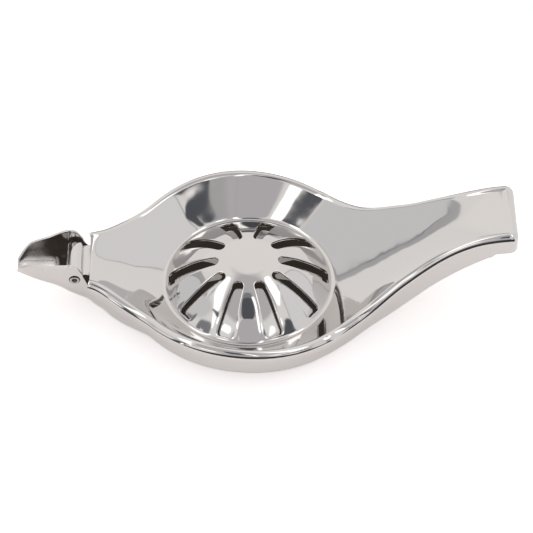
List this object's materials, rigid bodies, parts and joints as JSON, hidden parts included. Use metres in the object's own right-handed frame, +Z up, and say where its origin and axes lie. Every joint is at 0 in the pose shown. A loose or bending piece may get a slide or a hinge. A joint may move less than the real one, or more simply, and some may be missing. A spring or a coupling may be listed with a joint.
{
  "type": "hinged lemon squeezer",
  "caption": "Hand lever citrus squeezer: slotted domed press plate hinged over a matching juice tray with a pouring beak, in polished stainless steel.",
  "frame": {"origin": "in the plane of the tray's foot ring, on the symmetry plane, midway between the tip of the beak and the end of the handle", "axes": "+X to the end of the handle, -X to the pouring beak, +Z up; the hinge pin lies along Y"},
  "size_m": [0.2062, 0.1068, 0.0448],
  "materials": {
    "sheet_steel": "mirror-polished stainless steel with fine wiping marks",
    "pin_steel": "bright stainless steel, slightly duller than the sheets"
  },
  "bodies": {
    "tray": {"juice_tray": "sheet_steel", "hinge_pin": "pin_steel"},
    "press": {"press_plate": "sheet_steel"}
  },
  "joints": [
    {"name": "press_hinge", "type": "hinge", "parent": "tray", "child": "press", "pos_m": [-0.0789, 0, 0.0185], "axis": [0, -1, 0], "range_deg": [0, 62]}
  ]
}
